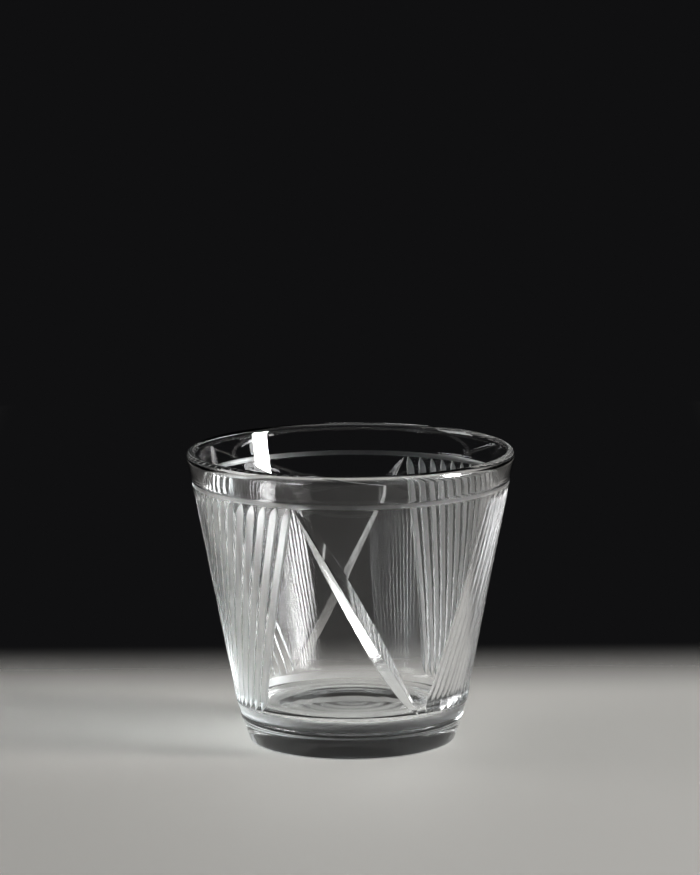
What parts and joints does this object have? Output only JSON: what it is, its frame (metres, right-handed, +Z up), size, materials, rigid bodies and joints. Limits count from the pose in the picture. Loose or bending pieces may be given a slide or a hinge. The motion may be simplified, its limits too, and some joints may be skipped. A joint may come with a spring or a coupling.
{
  "type": "whisky glass",
  "caption": "Short flaring whisky tumbler of clear glass with a thick foot, a plain rounded rim, and a wall cut with panels of slanting flutes and a long diagonal mitre on each clear panel.",
  "frame": {"origin": "centre of the footprint, on the plane the glass stands on", "axes": "+Z up along the glass's axis, -Y towards the viewer of the picture, +X to the viewer's right"},
  "size_m": [0.09, 0.09, 0.081],
  "materials": {
    "clear_glass": "clear colourless glass, fire polished on the plain surfaces, with polished wheel cuts and a lightly satin line under the rim"
  },
  "bodies": {
    "root": {"foot": "clear_glass", "bowl": "clear_glass", "rim": "clear_glass"}
  },
  "joints": []
}
